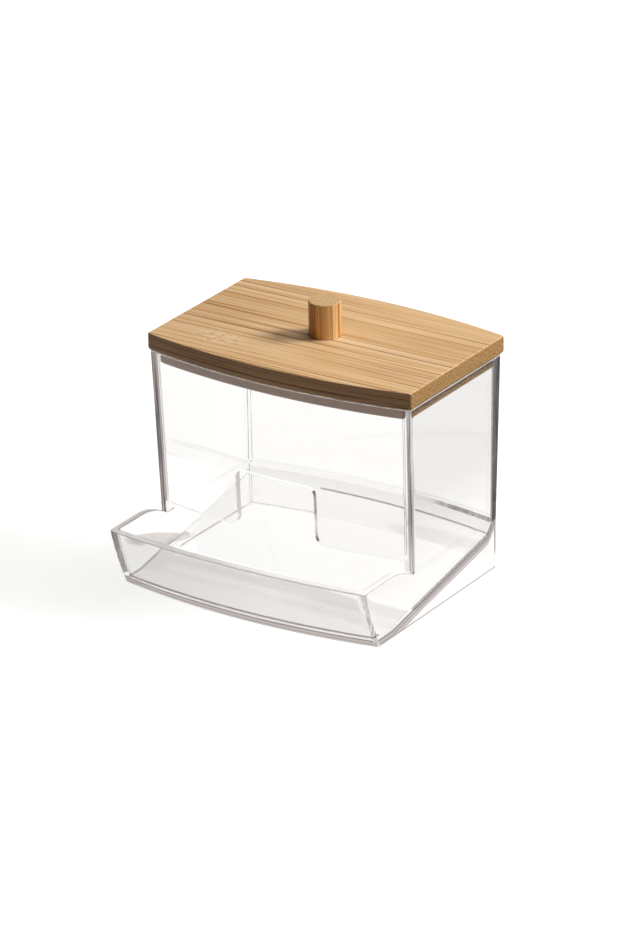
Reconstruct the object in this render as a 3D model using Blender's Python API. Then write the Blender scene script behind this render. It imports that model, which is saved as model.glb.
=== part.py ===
"""Cotton swab holder: a clear hopper bonded to a clear tray base, with a bamboo lid that lifts off.

X runs along the front, Y from the front to the rear and Z up. The part stands on Z = 0, and the origin is
under the middle of its overall box. All lengths are metres.
"""

import math

import bmesh
import bpy

# Overall sizes
TOTAL_HEIGHT = 0.0800
SIDE_DEPTH = 0.0700  # along one side, from the tray's rim corner to the hopper's rear corner

# Lid board: a bowed bamboo plate, and the plug cut under it that sits in the hopper's mouth
LID_WIDTH = 0.0870
LID_SIDE_DEPTH = 0.0488  # along one straight end
LID_BOW = 0.0047  # how far the middle of the front edge stands out past its corners
LID_THICKNESS = 0.0053
LID_CORNER_RADIUS = 0.0009
LID_TOP_EDGE = 0.0004
LID_BOTTOM_EDGE = 0.0012
LID_OVERHANG = 0.0004  # past the hopper's rim, all round
PLUG_HEIGHT = 0.0036
PLUG_CLEARANCE = 0.0005
PLUG_LEAD_IN = 0.0005

# Knob: a plain dowel, glued into a blind hole in the lid board
KNOB_DIAMETER = 0.0092
KNOB_HEIGHT = 0.0103
KNOB_EDGE = 0.0004
KNOB_SOCKET_DEPTH = 0.0050
KNOB_CLEARANCE = 0.0001

# Hopper: four clear walls that widen towards the mouth
WALL = 0.0021
FRONT_CORNER_RADIUS = 0.0011
REAR_CORNER_RADIUS = 0.0024
INNER_CORNER_RADIUS = 0.0014

# Swab exit under the hopper's front wall, and the finger notch above it
EXIT_TOP = 0.0186  # above the table
NOTCH_WIDTH = 0.0260
NOTCH_TOP = 0.0360  # above the table
NOTCH_UPPER_RADIUS = 0.0025
NOTCH_LOWER_RADIUS = 0.0030

# Base: tray, ramp and the skirt round the hollow below it
BASE_WIDTH = 0.0846
JOINT_DEPTH = 0.0448  # along one side of the hopper, where it meets the base
JOINT_HEIGHT = 0.0150
RIM_HEIGHT = 0.0187
RIM_BOW = 0.0029
RIM_LEVEL_DEPTH = 0.0135  # from the rim's corner to where the side rim starts to dip
FRONT_LEAN = 0.0071  # how far the front wall's rim stands out past its foot
FRONT_BELLY = 0.0005
FLOOR_THICKNESS = 0.0024
FLOOR_FILLET = 0.0022
RAMP_DEPTH = 0.0503  # along one side, from the ramp's foot to the kink
RAMP_THICKNESS = 0.0017
KINK_HEIGHT = 0.0115
KINK_SETBACK = 0.0034  # from the rear wall's inner face
SKIRT_WALL = 0.0016
HOLLOW_DEPTH = 0.0427  # along one side, from the rear corner

# Lap joint: the base's lip stands inside the hopper's lower edge
LIP_THICKNESS = 0.0009
LIP_HEIGHT = 0.0009
LIP_REVEAL = 0.0009  # what shows of the lip's inner face above the ramp's rear end

# Gap between pieces that touch, and how far a cutter runs past what it cuts
GAP = 0.0003
OVERRUN = 0.0040

# Facet counts
BOW_STEPS = 20
CORNER_STEPS = 4
FILLET_STEPS = 5
LEAN_STEPS = 4
DIP_STEPS = 8
ROUND_STEPS = 40

# Heights worked out from the sizes
LID_TOP = TOTAL_HEIGHT - KNOB_HEIGHT
LID_BOTTOM = LID_TOP - LID_THICKNESS
HOPPER_TOP = LID_BOTTOM - GAP
LIP_TOP = JOINT_HEIGHT + LIP_HEIGHT
RAMP_END = LIP_TOP - LIP_REVEAL

# Half widths
LID_HALF = LID_WIDTH / 2
MOUTH_HALF = LID_HALF - LID_OVERHANG
BASE_HALF = BASE_WIDTH / 2

# Places along Y, for an overall box with its middle at zero
MOUTH_DEPTH = LID_SIDE_DEPTH - 2 * LID_OVERHANG
TRAY_REACH = SIDE_DEPTH - JOINT_DEPTH / 2 + RIM_BOW
LID_REACH = LID_SIDE_DEPTH / 2 + LID_BOW
CENTRE = (TRAY_REACH - LID_REACH) / 2  # the middle of the hopper, the lid and the knob
REAR = CENTRE + JOINT_DEPTH / 2
HOPPER_FRONT = CENTRE - JOINT_DEPTH / 2
RIM_FRONT = REAR - SIDE_DEPTH
FOOT_FRONT = RIM_FRONT + FRONT_LEAN
HOLLOW_START = REAR - HOLLOW_DEPTH
KINK_CORNER = REAR - WALL - KINK_SETBACK
RAMP_FOOT = KINK_CORNER - RAMP_DEPTH


def bow_over(half):
    """The lid's curve over another half width, so that all the bowed faces run parallel."""
    return LID_BOW * (half / LID_HALF) ** 2


class Plan:
    """An outline seen from above: two straight ends, and a front and a rear that bow outwards."""

    def __init__(self, half, front, front_bow, rear, rear_bow):
        self.half = half
        self.front = front
        self.front_bow = front_bow
        self.rear = rear
        self.rear_bow = rear_bow

    def front_at(self, x):
        return self.front - self.front_bow * (1 - (x / self.half) ** 2)

    def rear_at(self, x):
        return self.rear + self.rear_bow * (1 - (x / self.half) ** 2)

    def edge(self, y_at, bow, inset, radius, outward):
        """One bowed edge from left to right, with half of a rounded corner at each end."""
        half = self.half - inset
        tilt = math.atan(2 * bow * half / self.half**2)
        last = half - radius + radius * math.sin(tilt)
        centre_y = y_at(last) - outward * (inset + radius * math.cos(tilt))
        right = []
        for i in range(CORNER_STEPS + 1):
            turn = tilt + (math.pi / 2 - tilt) * i / CORNER_STEPS
            right.append((half - radius + radius * math.sin(turn), centre_y + outward * radius * math.cos(turn)))
        stations = [last * (2 * i / BOW_STEPS - 1) for i in range(1, BOW_STEPS)]
        middle = [(x, y_at(x) - outward * inset) for x in stations]
        left = [(-x, y) for x, y in reversed(right)]
        return left + middle + right

    def front_edge(self, inset, radius):
        return self.edge(self.front_at, self.front_bow, inset, radius, -1)

    def rear_edge(self, inset, radius):
        return self.edge(self.rear_at, self.rear_bow, inset, radius, 1)

    def outside(self):
        """The clear plastic's outer outline, anticlockwise from the front left."""
        return self.front_edge(0.0, FRONT_CORNER_RADIUS) + self.rear_edge(0.0, REAR_CORNER_RADIUS)[::-1]

    def inside(self, inset, radius=INNER_CORNER_RADIUS):
        """The outline drawn in by the inset, with one radius at all four corners."""
        return self.front_edge(inset, radius) + self.rear_edge(inset, radius)[::-1]

    def behind(self, y, inset):
        """The outline drawn in by the inset and cut off square at one Y, for what runs round ends and rear."""
        half = self.half - inset
        return [(-half, y), (half, y)] + self.rear_edge(inset, INNER_CORNER_RADIUS)[::-1]


def skin(name, rings):
    """A closed solid through rings of points, in order, with a flat face at each end."""
    bm = bmesh.new()
    loops = [[bm.verts.new(point) for point in ring] for ring in rings]
    count = len(loops[0])
    sides = []
    for near, far in zip(loops, loops[1:]):
        for i in range(count):
            j = (i + 1) % count
            sides.append(bm.faces.new((near[i], near[j], far[j], far[i])))
    bm.faces.new(loops[0][::-1])
    bm.faces.new(loops[-1])
    bmesh.ops.recalc_face_normals(bm, faces=bm.faces)
    bmesh.ops.triangulate(bm, faces=sides)
    mesh = bpy.data.meshes.new(name)
    bm.to_mesh(mesh)
    bm.free()
    obj = bpy.data.objects.new(name, mesh)
    bpy.context.scene.collection.objects.link(obj)
    return obj


def loft(name, levels):
    """A solid through outlines seen from above, each with its height, from the lowest up."""
    return skin(name, [[(x, y, z) for x, y in outline] for outline, z in levels])


def sweep(name, half, section_at, steps):
    """A solid across the part: section_at(x) gives its (y, z) outline at each station along X."""
    stations = [half * (2 * i / steps - 1) for i in range(steps + 1)]
    return skin(name, [[(x, y, z) for y, z in section_at(x)] for x in stations])


def turned(name, profile):
    """A round solid about the knob's axis, from its (radius, height) profile."""
    turns = [2 * math.pi * i / ROUND_STEPS for i in range(ROUND_STEPS)]
    return loft(name, [([(r * math.cos(a), CENTRE + r * math.sin(a)) for a in turns], z) for r, z in profile])


def arc(centre_x, centre_z, radius, start, stop):
    """Points round part of a circle in X and Z, between two angles in degrees."""
    angles = [math.radians(start + (stop - start) * i / FILLET_STEPS) for i in range(FILLET_STEPS + 1)]
    return [(centre_x + radius * math.cos(a), centre_z + radius * math.sin(a)) for a in angles]


def boolean(target, tool, operation):
    """Joins or cuts with another object, which stays in the file as a hidden guide."""
    tool.hide_render = True
    tool.display_type = "WIRE"
    modifier = target.modifiers.new(f"{operation.lower()} {tool.name}", "BOOLEAN")
    modifier.operation = operation
    modifier.solver = "EXACT"
    modifier.object = tool


def finish(obj, name, colour, roughness, transmission=0.0, alpha=1.0):
    """Gives a piece its own material and shades its round faces smooth."""
    material = bpy.data.materials.new(name)
    material.use_nodes = True
    shader = material.node_tree.nodes["Principled BSDF"]
    shader.inputs["Base Color"].default_value = (*colour, 1.0)
    shader.inputs["Roughness"].default_value = roughness
    shader.inputs["Transmission Weight"].default_value = transmission
    shader.inputs["Alpha"].default_value = alpha
    obj.data.materials.append(material)
    obj.data.shade_smooth()
    obj.data.set_sharp_from_angle(angle=math.radians(30))


def base_plan(z):
    """The base's outline at one height: only its front wall leans."""
    share = z / RIM_HEIGHT
    foot_bow = bow_over(BASE_HALF)
    front = FOOT_FRONT - FRONT_LEAN * share - FRONT_BELLY * 4 * share * (1 - share)
    return Plan(BASE_HALF, front, foot_bow + (RIM_BOW - foot_bow) * share, REAR, foot_bow)


def hopper_plan(z):
    """The hopper's outline at one height, from the joint up to the rim."""
    share = (z - JOINT_HEIGHT) / (HOPPER_TOP - JOINT_HEIGHT)
    half = BASE_HALF + (MOUTH_HALF - BASE_HALF) * share
    reach = (JOINT_DEPTH + (MOUTH_DEPTH - JOINT_DEPTH) * share) / 2
    return Plan(half, CENTRE - reach, bow_over(half), CENTRE + reach, bow_over(half))


def rear_wall(x):
    """Y of the rear wall's outer face on the base."""
    return base_plan(JOINT_HEIGHT).rear_at(x)


def kink(x):
    """Y of the line where the ramp turns steep."""
    return rear_wall(x) - WALL - KINK_SETBACK


def ramp_slope(x):
    return (KINK_HEIGHT - FLOOR_THICKNESS) / (kink(x) - RAMP_FOOT)


def floor_section(x):
    """What stays solid inside the base: the fillet at the front wall, the floor, the ramp and its steep end."""
    front = base_plan(FLOOR_THICKNESS).front_at(x) + WALL
    rear = rear_wall(x) - WALL
    points = [(front - WALL / 2, -OVERRUN)]
    points.append((front - WALL / 2, FLOOR_THICKNESS + FLOOR_FILLET))
    points += arc(front + FLOOR_FILLET, FLOOR_THICKNESS + FLOOR_FILLET, FLOOR_FILLET, 180, 270)
    points.append((max(RAMP_FOOT, front + FLOOR_FILLET + GAP), FLOOR_THICKNESS))
    points.append((kink(x), KINK_HEIGHT))
    rise = (RAMP_END - KINK_HEIGHT) / KINK_SETBACK
    points.append((rear + WALL / 2, RAMP_END + rise * WALL / 2))
    points.append((rear + WALL / 2, -OVERRUN))
    return points


def hollow_section(x):
    """The space under the ramp, open to the table, one ramp thickness below the ramp's face."""
    slope = math.atan(ramp_slope(x))
    steep = math.atan2(RAMP_END - KINK_HEIGHT, KINK_SETBACK)
    mitre = RAMP_THICKNESS / (1 + math.cos(steep - slope))
    bend_y = kink(x) + mitre * (math.sin(slope) + math.sin(steep))
    bend_z = KINK_HEIGHT - mitre * (math.cos(slope) + math.cos(steep))
    rear = rear_wall(x) - SKIRT_WALL
    return [
        (HOLLOW_START, -OVERRUN),
        (HOLLOW_START, bend_z - math.tan(slope) * (bend_y - HOLLOW_START)),
        (bend_y, bend_z),
        (rear, bend_z + math.tan(steep) * (rear - bend_y)),
        (rear, -OVERRUN),
    ]


def rim_cut_section():
    """What is cut away above the base: level over the tray, dipping towards the hopper, then the level joint."""
    front = RIM_FRONT - RIM_BOW - OVERRUN
    rear = REAR + LID_BOW + OVERRUN
    start = RIM_FRONT + RIM_LEVEL_DEPTH
    points = [(front, RIM_HEIGHT + OVERRUN), (front, RIM_HEIGHT)]
    for i in range(DIP_STEPS + 1):
        share = i / DIP_STEPS
        drop = (RIM_HEIGHT - JOINT_HEIGHT) * share**2
        points.append((start + (HOPPER_FRONT - start) * share, RIM_HEIGHT - drop))
    points.append((rear, JOINT_HEIGHT))
    points.append((rear, RIM_HEIGHT + OVERRUN))
    return points


def make_tray_base():
    heights = [RIM_HEIGHT * i / LEAN_STEPS for i in range(LEAN_STEPS + 1)]
    base = loft("tray_base", [(base_plan(z).outside(), z) for z in heights])
    rim_cut = sweep("rim_cut", BASE_HALF + OVERRUN, lambda x: rim_cut_section(), 1)
    boolean(base, rim_cut, "DIFFERENCE")

    lip_outline = base_plan(JOINT_HEIGHT).behind(HOPPER_FRONT + WALL, WALL - LIP_THICKNESS)
    lip = loft("lip", [(lip_outline, z) for z in (JOINT_HEIGHT - WALL, LIP_TOP)])
    boolean(base, lip, "UNION")

    levels = [(base_plan(z).inside(WALL), z) for z in heights]
    levels.append((base_plan(RIM_HEIGHT).inside(WALL), RIM_HEIGHT + OVERRUN))
    space = loft("base_space", levels)
    floor = sweep("floor_guide", BASE_HALF - WALL / 2, floor_section, BOW_STEPS)
    boolean(space, floor, "DIFFERENCE")
    boolean(base, space, "DIFFERENCE")

    hollow = sweep("hollow_under_ramp", BASE_HALF - SKIRT_WALL, hollow_section, BOW_STEPS)
    boolean(base, hollow, "DIFFERENCE")
    finish(base, "clear plastic, base", (0.93, 0.93, 0.93), 0.04, transmission=1.0, alpha=0.3)


def exit_outline():
    """The swab exit seen from the front, with the finger notch rising from its middle."""
    notch = NOTCH_WIDTH / 2
    lower, upper = NOTCH_LOWER_RADIUS, NOTCH_UPPER_RADIUS
    right = [(hopper_plan(z).half - WALL - GAP, z) for z in (JOINT_HEIGHT - OVERRUN, EXIT_TOP)]
    right += arc(notch + lower, EXIT_TOP + lower, lower, 270, 180)
    right += arc(notch - upper, NOTCH_TOP - upper, upper, 0, 90)
    return right + [(-x, z) for x, z in reversed(right)]


def make_hopper():
    bottom = JOINT_HEIGHT + GAP
    hopper = loft("hopper", [(hopper_plan(z).outside(), z) for z in (bottom, HOPPER_TOP)])
    ends = (JOINT_HEIGHT - OVERRUN, HOPPER_TOP + OVERRUN)
    space = loft("hopper_space", [(hopper_plan(z).inside(WALL), z) for z in ends])
    boolean(hopper, space, "DIFFERENCE")

    rebate_outline = base_plan(JOINT_HEIGHT).behind(HOPPER_FRONT + WALL - GAP, WALL - LIP_THICKNESS - GAP)
    rebate = loft("lip_rebate", [(rebate_outline, z) for z in (JOINT_HEIGHT - OVERRUN, LIP_TOP + GAP)])
    boolean(hopper, rebate, "DIFFERENCE")

    outline = exit_outline()
    swab_exit = skin("swab_exit", [[(x, y, z) for x, z in outline] for y in (RIM_FRONT, CENTRE)])
    boolean(hopper, swab_exit, "DIFFERENCE")
    finish(hopper, "clear plastic, hopper", (0.93, 0.93, 0.93), 0.04, transmission=1.0, alpha=0.3)


def lid_outline(inset):
    """The lid board's outline, drawn in where its edges are rounded over."""
    reach = LID_SIDE_DEPTH / 2
    plan = Plan(LID_HALF, CENTRE - reach, LID_BOW, CENTRE + reach, LID_BOW)
    return plan.inside(inset, LID_CORNER_RADIUS)


def make_lid_board():
    plug = hopper_plan(HOPPER_TOP)
    inset = WALL + PLUG_CLEARANCE
    plug_bottom = LID_BOTTOM - PLUG_HEIGHT
    levels = [
        (plug.inside(inset + PLUG_LEAD_IN), plug_bottom),
        (plug.inside(inset), plug_bottom + PLUG_LEAD_IN),
        (plug.inside(inset), LID_BOTTOM),
    ]
    for i in range(CORNER_STEPS + 1):
        turn = math.pi / 2 * i / CORNER_STEPS
        z = LID_BOTTOM + LID_BOTTOM_EDGE * (1 - math.cos(turn))
        levels.append((lid_outline(LID_BOTTOM_EDGE * (1 - math.sin(turn))), z))
    for i in range(CORNER_STEPS + 1):
        turn = math.pi / 2 * i / CORNER_STEPS
        z = LID_TOP - LID_TOP_EDGE * (1 - math.sin(turn))
        levels.append((lid_outline(LID_TOP_EDGE * (1 - math.cos(turn))), z))
    board = loft("lid_board", levels)

    radius = KNOB_DIAMETER / 2 + KNOB_CLEARANCE
    socket = turned("knob_socket", [(radius, LID_TOP - KNOB_SOCKET_DEPTH), (radius, LID_TOP + OVERRUN)])
    boolean(board, socket, "DIFFERENCE")
    finish(board, "bamboo, lid board", (0.58, 0.39, 0.21), 0.55)
    return board


def make_knob():
    radius = KNOB_DIAMETER / 2
    bottom = LID_TOP - KNOB_SOCKET_DEPTH + GAP
    profile = [(radius, bottom), (radius, TOTAL_HEIGHT - KNOB_EDGE), (radius - KNOB_EDGE, TOTAL_HEIGHT)]
    knob = turned("knob", profile)
    finish(knob, "bamboo, knob", (0.60, 0.38, 0.19), 0.5)
    return knob


def hang_on_lid(pieces):
    """The pieces that lift off together hang on one empty, at the middle of the lid board's underside."""
    lid = bpy.data.objects.new("lid_lift", None)
    lid.location = (0, CENTRE, LID_BOTTOM)
    bpy.context.scene.collection.objects.link(lid)
    bpy.context.view_layer.update()
    for piece in pieces:
        piece.parent = lid
        piece.matrix_parent_inverse = lid.matrix_world.inverted()


for leftover in list(bpy.data.objects):
    bpy.data.objects.remove(leftover, do_unlink=True)
make_tray_base()
make_hopper()
hang_on_lid([make_lid_board(), make_knob()])
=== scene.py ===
"""The look of the cotton swab holder: clear plastic hopper and tray base, bamboo lid and knob."""
import math
import random

import bmesh
import bpy
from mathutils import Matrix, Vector


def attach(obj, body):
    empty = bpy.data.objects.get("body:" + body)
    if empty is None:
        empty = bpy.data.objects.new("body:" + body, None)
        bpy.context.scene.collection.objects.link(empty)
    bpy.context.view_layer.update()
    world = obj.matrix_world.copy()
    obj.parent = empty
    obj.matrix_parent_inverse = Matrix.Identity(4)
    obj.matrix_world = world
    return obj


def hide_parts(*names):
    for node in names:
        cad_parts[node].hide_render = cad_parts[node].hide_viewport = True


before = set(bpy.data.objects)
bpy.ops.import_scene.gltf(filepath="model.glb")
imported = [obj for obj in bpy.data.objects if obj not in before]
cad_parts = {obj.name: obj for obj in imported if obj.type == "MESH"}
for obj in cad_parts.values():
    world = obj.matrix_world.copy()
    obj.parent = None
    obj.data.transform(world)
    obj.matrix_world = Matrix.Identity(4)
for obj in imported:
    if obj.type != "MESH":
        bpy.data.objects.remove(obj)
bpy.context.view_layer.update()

MM = 0.001

# Sizes in millimetres, the same as the CAD source
SIDE_DEPTH = 70.0
LID_WIDTH = 87.0
LID_SIDE_DEPTH = 48.8
LID_BOW = 4.7
LID_CORNER_RADIUS = 0.9
LID_OVERHANG = 0.4
LID_TOP = 69.7
LID_BOTTOM = 64.4
LID_TOP_EDGE = 0.4
LID_BOTTOM_EDGE = 1.2
PLUG_HEIGHT = 3.6
PLUG_CLEARANCE = 0.5
PLUG_LEAD_IN = 0.5
KNOB_RADIUS = 4.6
KNOB_TOP = 80.0
KNOB_EDGE = 0.4
SOCKET_DEPTH = 5.0
SOCKET_CLEARANCE = 0.1
WALL = 2.1
FRONT_CORNER_RADIUS = 1.1
REAR_CORNER_RADIUS = 2.4
INNER_CORNER_RADIUS = 1.4
EXIT_TOP = 18.6
NOTCH_WIDTH = 26.0
NOTCH_TOP = 36.0
NOTCH_UPPER_RADIUS = 2.5
NOTCH_LOWER_RADIUS = 3.0
BASE_WIDTH = 84.6
JOINT_DEPTH = 44.8
JOINT_HEIGHT = 15.0
RIM_HEIGHT = 18.7
RIM_BOW = 2.9
RIM_LEVEL_DEPTH = 13.5
FRONT_LEAN = 7.1
FRONT_BELLY = 0.5
FLOOR = 2.4
FLOOR_FILLET = 2.2
RAMP_DEPTH = 50.3
RAMP_THICKNESS = 1.7
KINK_HEIGHT = 11.5
KINK_SETBACK = 3.4
RAMP_END = 15.0
SKIRT_WALL = 1.6
HOLLOW_DEPTH = 42.7
LIP_INSET = 1.2
LIP_TOP = 15.9
GAP = 0.3

# Finish of the mouldings that the CAD solids leave sharp
RIM_ROUND = 0.4
MOUTH_ROUND = 0.2
FOOT_ROUND = 0.3
SEAM = 0.02  # the bonded joint's thickness
REST = 0.05  # the lid's own height over the rim it rests on
KINK_LINE = 0.3  # the width of the painted shade line at the ramp's kink
FOOT_LINE = 0.3  # the width of the painted shade line along the right foot
KINK_SHOWS = -16.5  # the painted shade line at the kink shows right of this
FOOT_SHOWS = -20.0  # the rear foot shows as a line left of this
OVERRUN = 4.0  # how far a cutting tool reaches past what it cuts

LID_HALF = LID_WIDTH / 2
MOUTH_HALF = LID_HALF - LID_OVERHANG
BASE_HALF = BASE_WIDTH / 2
MOUTH_DEPTH = LID_SIDE_DEPTH - 2 * LID_OVERHANG
TRAY_REACH = SIDE_DEPTH - JOINT_DEPTH / 2 + RIM_BOW
CENTRE = (TRAY_REACH - LID_SIDE_DEPTH / 2 - LID_BOW) / 2
REAR = CENTRE + JOINT_DEPTH / 2
HOPPER_FRONT = CENTRE - JOINT_DEPTH / 2
RIM_FRONT = REAR - SIDE_DEPTH
FOOT_FRONT = RIM_FRONT + FRONT_LEAN
HOLLOW_START = REAR - HOLLOW_DEPTH
KINK_CORNER = REAR - WALL - KINK_SETBACK
RAMP_FOOT = KINK_CORNER - RAMP_DEPTH
DIP_START = RIM_FRONT + RIM_LEVEL_DEPTH
LAP_START = HOPPER_FRONT + WALL + INNER_CORNER_RADIUS + GAP
HOPPER_TOP = LID_BOTTOM - REST

CORNER_STEPS = 12
BOW_STEPS = 72
EDGE_COUNT = 2 * CORNER_STEPS + BOW_STEPS + 1
ROUND_STEPS = 4
WALL_ROWS = 10
BASE_ROWS = 8
FILLET_STEPS = 8
DIP_STEPS = 16
LEDGE_STEPS = 4
HOLLOW_STEPS = 60
NOTCH_STEPS = 10
LID_STEPS = 8
SOCKET_SIDES = 96
KNOB_SIDES = 144
SMOOTH_ANGLE = 35  # degrees

# Rows of points along the side walls that no other size gives, from front to rear
BASE_PLACES = (-2.0, 5.0, 12.0, 18.0, 23.0)
HOPPER_PLACES = (0.0, 10.0, 20.0, 28.8, 29.5)

# Columns of the corners that get painted shade lines, counted from the corner's start
REAR_LEFT_BASE = (2, 8)
REAR_LEFT_HOPPER = (1, 2, 8)
REAR_RIGHT_HOPPER = (2, 3, 8)
FRONT_HOPPER = (CORNER_STEPS - 4, CORNER_STEPS - 1)
REAR_RIGHT_SHADE = range(-1, 5)

WHITE = (1.0, 1.0, 0.985, 1.0)
HAZE = (0.86, 0.83, 0.81, 1.0)
MIRROR_DARK = (0.09, 0.08, 0.075, 1.0)
MIRROR_REACH = (0.055, 0.085)  # metres along X, where the table starts and ends turning dark
LAMP_AIM = (0.0, 0.01, 0.06)
WAVE = 0.00001  # the height in metres of the plastic's waves
# Painted trapped light: grey streaks for light caught in the plastic
TRAPPED_DARK = (0.05, 0.045, 0.045, 1.0)
TRAPPED_MID = (0.30, 0.265, 0.250, 1.0)
TRAPPED_PALE = (0.66, 0.620, 0.600, 1.0)

# Painted shade: three dark lines with paler edges, for the floor's and the ramp's edges seen through the
# wall: the place across the band as a share, then colour and strength
PAINTED_BAND_LINES = (
    (0.05, (0.44, 0.38, 0.37, 0.60)),
    (0.11, (0.22, 0.19, 0.18, 0.85)),
    (0.18, (0.62, 0.56, 0.55, 0.70)),
    (0.40, (0.40, 0.35, 0.34, 0.85)),
    (0.47, (0.20, 0.17, 0.17, 0.85)),
    (0.54, (0.56, 0.50, 0.49, 0.80)),
    (0.74, (0.36, 0.31, 0.30, 0.85)),
    (0.82, (0.13, 0.11, 0.10, 0.95)),
    (0.91, (0.68, 0.63, 0.61, 0.60)),
)

# The lid board's marks, in metres
BOARD_KNOT = (-0.0245, -0.006, 0.0697)
FRONT_SEAM = 0.0111
REAR_SEAM = 0.0235
SEAM_BLUR = 0.0002

BOARD_LIGHT = (0.80, 0.60, 0.38, 1.0)
BOARD_PALE = (0.76, 0.505, 0.260, 1.0)
BOARD_TAN = (0.68, 0.420, 0.195, 1.0)
BOARD_ORANGE = (0.58, 0.335, 0.125, 1.0)
BOARD_BROWN = (0.41, 0.205, 0.065, 1.0)
BOARD_DARK = (0.29, 0.120, 0.030, 1.0)
LONG_EDGE_SHADE = (0.58, 0.44, 0.33, 1.0)
END_PALE = (0.60, 0.400, 0.210, 1.0)
END_TAN = (0.50, 0.285, 0.095, 1.0)
END_DARK = (0.30, 0.150, 0.050, 1.0)
DOWEL_PALE = (0.90, 0.500, 0.180, 1.0)
DOWEL_TAN = (0.42, 0.170, 0.038, 1.0)
DOWEL_BROWN = (0.26, 0.095, 0.025, 1.0)

# Material slots of the clear mouldings
PLASTIC = 0
BOND = 1
# Painted light: the moulded edges glow though they are no lamp
EDGE = 2
OUTSIDE = 3
# Painted trapped light: grey streaks on the corners
CORNER = 4
# Painted shade: dark lines for edges, the kink and the fillet seen in the clear plastic
SHADE_LINE = 5
# Painted light: the underside glows though it is no lamp
FOOT = 6
FRONT = 7
# Painted shade: a near-black column on the hopper's rear-right corner
DARK = 8


def blend(a, b, share):
    return a + (b - a) * share


# Outlines seen from above: two straight ends, and a front and a rear that bow outwards

def bow_over(half):
    return LID_BOW * (half / LID_HALF) ** 2


class Plan:
    def __init__(self, half, front, front_bow, rear, rear_bow):
        self.half = half
        self.front = front
        self.front_bow = front_bow
        self.rear = rear
        self.rear_bow = rear_bow

    def front_at(self, x):
        return self.front - self.front_bow * (1 - (x / self.half) ** 2)

    def rear_at(self, x):
        return self.rear + self.rear_bow * (1 - (x / self.half) ** 2)

    def edge_point(self, is_front, k, inset, radius):
        """Point k of the front or rear edge from the left, with half of a rounded corner at each end."""
        half = self.half - inset
        bow = self.front_bow if is_front else self.rear_bow
        y_at = self.front_at if is_front else self.rear_at
        outward = -1 if is_front else 1
        tilt = math.atan(2 * bow * half / self.half**2)
        last = half - radius + radius * math.sin(tilt)
        if CORNER_STEPS < k < CORNER_STEPS + BOW_STEPS:
            x = last * (2 * (k - CORNER_STEPS) / BOW_STEPS - 1)
            return x, y_at(x) - outward * inset
        on_left = k <= CORNER_STEPS
        i = CORNER_STEPS - k if on_left else k - CORNER_STEPS - BOW_STEPS
        turn = tilt + (math.pi / 2 - tilt) * i / CORNER_STEPS
        x = half - radius + radius * math.sin(turn)
        y = y_at(last) - outward * (inset + radius * math.cos(tilt)) + outward * radius * math.cos(turn)
        return (-x if on_left else x), y


def base_plan(z):
    share = z / RIM_HEIGHT
    foot_bow = bow_over(BASE_HALF)
    front = FOOT_FRONT - FRONT_LEAN * share - FRONT_BELLY * 4 * share * (1 - share)
    return Plan(BASE_HALF, front, blend(foot_bow, RIM_BOW, share), REAR, foot_bow)


def hopper_plan(z):
    share = (z - JOINT_HEIGHT) / (LID_BOTTOM - GAP - JOINT_HEIGHT)
    half = blend(BASE_HALF, MOUTH_HALF, share)
    reach = blend(JOINT_DEPTH, MOUTH_DEPTH, share) / 2
    return Plan(half, CENTRE - reach, bow_over(half), CENTRE + reach, bow_over(half))


def corner_radius(outer, inset):
    """The corner's radius at an inset: parallel to the outer corner, then to the inner one."""
    near, far = RIM_ROUND, WALL - RIM_ROUND
    if inset <= near:
        return outer - inset
    if inset >= far:
        return INNER_CORNER_RADIUS + WALL - inset
    share = (inset - near) / (far - near)
    return blend(outer - near, INNER_CORNER_RADIUS + WALL - far, share)


def stations_round(side_places):
    """The places round a moulding, anticlockwise from the front left: (kind, value, sign)."""
    found = [("front", k, 0) for k in range(EDGE_COUNT)]
    found += [("side", y, 1) for y in side_places]
    found += [("rear", k, 0) for k in range(EDGE_COUNT - 1, -1, -1)]
    found += [("side", y, -1) for y in reversed(side_places)]
    return found


def place_at(plan, station, inset):
    kind, value, sign = station
    if kind == "side":
        return sign * (plan.half - inset), value
    outer = FRONT_CORNER_RADIUS if kind == "front" else REAR_CORNER_RADIUS
    return plan.edge_point(kind == "front", value, inset, corner_radius(outer, inset))


def quarter(radius, start_inset, start_z, inset_sign, z_sign, first_along_z):
    """A rounded edge as (inset, z) points from one tangent point to the other."""
    points = []
    for i in range(ROUND_STEPS + 1):
        turn = math.pi / 2 * i / ROUND_STEPS
        slow, fast = radius * (1 - math.cos(turn)), radius * math.sin(turn)
        a, b = (slow, fast) if first_along_z else (fast, slow)
        points.append((start_inset + inset_sign * a, start_z + z_sign * b))
    return points


# Mesh helpers

def smooth(mesh):
    mesh.shade_smooth()
    mesh.set_sharp_from_angle(angle=math.radians(SMOOTH_ANGLE))


def new_object(name, bm, materials):
    bmesh.ops.recalc_face_normals(bm, faces=bm.faces)
    mesh = bpy.data.meshes.new(name)
    bm.to_mesh(mesh)
    bm.free()
    for material in materials:
        mesh.materials.append(material)
    obj = bpy.data.objects.new(name, mesh)
    bpy.context.scene.collection.objects.link(obj)
    smooth(mesh)
    return obj


def vert(bm, x, y, z):
    return bm.verts.new((x * MM, y * MM, z * MM))


def strip(bm, near, far, material=0, closed=True):
    """Quads between two rows of vertices, with one material slot or one for each quad."""
    count = len(near)
    slots = material if isinstance(material, list) else [material] * count
    for i in range(count if closed else count - 1):
        j = (i + 1) % count
        bm.faces.new((near[i], near[j], far[j], far[i])).material_index = slots[i]


def skin(name, rings, materials=(), slot=0):
    """A closed solid through rings of points, with a flat face at each end."""
    bm = bmesh.new()
    loops = [[vert(bm, *point) for point in ring] for ring in rings]
    for near, far in zip(loops, loops[1:]):
        strip(bm, near, far)
    bm.faces.new(loops[0][::-1])
    bm.faces.new(loops[-1])
    for face in bm.faces:
        face.material_index = slot
    return new_object(name, bm, materials)


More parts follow.
